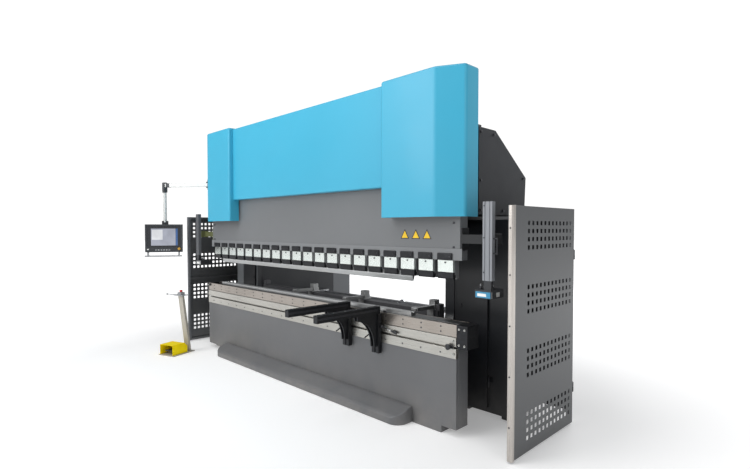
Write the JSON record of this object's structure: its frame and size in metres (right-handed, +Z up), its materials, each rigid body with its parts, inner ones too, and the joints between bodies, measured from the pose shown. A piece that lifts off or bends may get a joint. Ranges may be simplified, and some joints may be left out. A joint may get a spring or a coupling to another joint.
{
  "type": "hydraulic press brake",
  "caption": "Press brake with box covers, slotted table, clamped punches and V die, swinging side guards, beam sensors, sheet supports, back gauge, pendant control and pedal station.",
  "frame": {"origin": "on the floor, at the middle of the deep middle part of the bed's bottom face, straight below the bend line", "axes": "+X to the operator's right along the bend line, +Y to the rear of the machine, +Z up"},
  "size_m": [5.3233, 2.84, 2.863],
  "materials": {
    "painted_grey": "satin",
    "machined_steel": "ground",
    "tool_steel": "ground",
    "adapter_steel": "satin",
    "black_steel": "satin",
    "screw_black": "black oxide",
    "chrome_rod": "polished",
    "frame_black": "satin",
    "pad_iron": "rough",
    "cylinder_paint": "satin",
    "tank_paint": "satin",
    "rear_grey": "satin",
    "pipe_steel": "zinc plated",
    "cover_blue": "satin",
    "housing_grey": "satin",
    "module_plastic": "matt",
    "guard_steel": "brushed",
    "guard_paint": "satin",
    "column_alu": "anodised",
    "gauge_paint": "satin",
    "finger_steel": "satin",
    "pendant_paint": "satin",
    "panel_plastic": "matt",
    "knob_yellow": "gloss",
    "post_beige": "satin",
    "hood_yellow": "satin",
    "pedal_rubber": "ribbed",
    "stop_red": "gloss"
  },
  "bodies": {
    "machine": {"bed_beam": "painted_grey", "bed_apron": "painted_grey", "foot_skirt": "painted_grey", "table_plates": "machined_steel", "table_screws": "screw_black", "support_rail": "machined_steel", "rail_ends": "black_steel", "die_rail": "tool_steel", "v_die": "tool_steel", "frame_left": "frame_black", "frame_right": "frame_black", "levelling_pads": "pad_iron", "cylinder_blocks": "cylinder_paint", "ram_guides": "machined_steel", "oil_tank": "tank_paint", "power_unit": "tank_paint", "oil_pipes": "pipe_steel", "cover_boxes": "cover_blue", "cover_centre": "cover_blue", "cross_members": "frame_black", "side_housings": "housing_grey", "cabinets": "housing_grey", "rear_cabinet": "rear_grey", "cabinet_inside": "module_plastic", "side_brackets": "black_steel", "gauge_rails": "gauge_paint"},
    "ram": {"ram_plate": "painted_grey", "ram_strip": "machined_steel", "adapter_bodies": "adapter_steel", "upper_clamps": "black_steel", "wedge_plates": "machined_steel", "lower_clamps": "black_steel", "clamp_screws": "screw_black", "punches": "tool_steel", "piston_rods": "chrome_rod", "sensor_mounts": "black_steel"},
    "sensor_l": {"sensor_left": "column_alu"},
    "sensor_r": {"sensor_right": "column_alu"},
    "guard_l": {"guard_frame_left": "guard_steel", "guard_panel_left": "guard_paint"},
    "guard_r": {"guard_frame_right": "guard_steel", "guard_panel_right": "guard_paint"},
    "door_l": {"door_left": "housing_grey"},
    "door_r": {"door_right": "housing_grey"},
    "gauge_depth": {"gauge_carriage": "gauge_paint"},
    "gauge_drive": {"gauge_screw": "chrome_rod"},
    "gauge_height": {"gauge_beam": "gauge_paint"},
    "finger_l": {"finger_left": "finger_steel"},
    "finger_m": {"finger_mid": "finger_steel"},
    "finger_r": {"finger_right": "finger_steel"},
    "support_l": {"support_left": "black_steel"},
    "support_r": {"support_right": "black_steel"},
    "pendant_boom": {"pendant_arm": "pendant_paint"},
    "pendant_stem": {"pendant_drop": "pendant_paint"},
    "panel": {"panel_case": "panel_plastic"},
    "knob": {"panel_knob": "knob_yellow"},
    "station": {"station_base": "post_beige", "pedal_hood": "hood_yellow"},
    "treadle": {"pedal_treadle": "pedal_rubber"},
    "stop_button": {"station_stop": "stop_red"}
  },
  "joints": [
    {"name": "ram_slide", "type": "slide", "parent": "machine", "child": "ram", "axis": [0, 0, 1], "range_m": [-0.255, 0]},
    {"name": "sensor_left_slide", "type": "slide", "parent": "ram", "child": "sensor_l", "axis": [0, 0, 1], "range_m": [-0.06, 0.12]},
    {"name": "sensor_right_slide", "type": "slide", "parent": "ram", "child": "sensor_r", "axis": [0, 0, 1], "range_m": [-0.06, 0.12]},
    {"name": "guard_left_hinge", "type": "hinge", "parent": "machine", "child": "guard_l", "pos_m": [-2.545, 0.85, 0.9], "axis": [0, 0, -1], "range_deg": [0, 95]},
    {"name": "guard_right_hinge", "type": "hinge", "parent": "machine", "child": "guard_r", "pos_m": [2.545, 0.85, 0.9], "axis": [0, 0, 1], "range_deg": [0, 95]},
    {"name": "door_left_hinge", "type": "hinge", "parent": "machine", "child": "door_l", "pos_m": [-2.02, 0.42, 0.87], "axis": [0, 0, -1], "range_deg": [0, 100]},
    {"name": "door_right_hinge", "type": "hinge", "parent": "machine", "child": "door_r", "pos_m": [2.02, 0.42, 0.87], "axis": [0, 0, 1], "range_deg": [0, 100]},
    {"name": "gauge_depth_slide", "type": "slide", "parent": "machine", "child": "gauge_depth", "axis": [0, 1, 0], "range_m": [-0.06, 0.85]},
    {"name": "gauge_screw_spin", "type": "hinge", "parent": "machine", "child": "gauge_drive", "pos_m": [0, 1, 0.64], "axis": [0, 1, 0], "range_deg": [-1100, 15400]},
    {"name": "gauge_height_slide", "type": "slide", "parent": "gauge_depth", "child": "gauge_height", "axis": [0, 0, 1], "range_m": [0, 0.06]},
    {"name": "finger_left_slide", "type": "slide", "parent": "gauge_height", "child": "finger_l", "axis": [1, 0, 0], "range_m": [-0.9, 0.38]},
    {"name": "finger_mid_slide", "type": "slide", "parent": "gauge_height", "child": "finger_m", "axis": [1, 0, 0], "range_m": [-0.35, 0.4]},
    {"name": "finger_right_slide", "type": "slide", "parent": "gauge_height", "child": "finger_r", "axis": [1, 0, 0], "range_m": [-0.4, 0]},
    {"name": "support_left_slide", "type": "slide", "parent": "machine", "child": "support_l", "axis": [1, 0, 0], "range_m": [-2.4, 0.19]},
    {"name": "support_right_slide", "type": "slide", "parent": "machine", "child": "support_r", "axis": [1, 0, 0], "range_m": [-0.1, 0.7]},
    {"name": "pendant_arm_swivel", "type": "hinge", "parent": "machine", "child": "pendant_boom", "pos_m": [-2.155, -0.038, 2.215], "axis": [0, 0, 1], "range_deg": [0, 50]},
    {"name": "pendant_drop_swivel", "type": "hinge", "parent": "pendant_boom", "child": "pendant_stem", "pos_m": [-2.68491, -0.423, 2.215], "axis": [0, 0, 1], "range_deg": [-110, 15]},
    {"name": "panel_tilt", "type": "hinge", "parent": "pendant_stem", "child": "panel", "pos_m": [-2.68491, -0.423, 1.478], "axis": [0.5, 0.866, 0], "range_deg": [-8, 12]},
    {"name": "panel_knob_turn", "type": "hinge", "parent": "panel", "child": "knob", "pos_m": [-2.45067, -0.32729, 1.332], "axis": [0.866, -0.5, 0], "range_deg": [-60, 60]},
    {"name": "treadle_hinge", "type": "hinge", "parent": "station", "child": "treadle", "pos_m": [-2.0229, -0.52699, 0.046], "axis": [0.9397, 0.342, 0], "range_deg": [0, 12], "stiffness_Nm_per_rad": 60, "springref_deg": -6.88},
    {"name": "station_stop_press", "type": "slide", "parent": "station", "child": "stop_button", "axis": [0, 0, -1], "range_m": [0, 0.004], "stiffness_N_per_m": 1500, "springref_m": -0.002},
    {"name": "station_move", "type": "slide", "parent": "machine", "child": "station", "axis": [0, -1, 0], "range_m": [0, 0.5]}
  ],
  "couplings": [
    {"joint": "gauge_screw_spin", "follows": "gauge_depth_slide", "rad_per_m": 314.16}
  ]
}
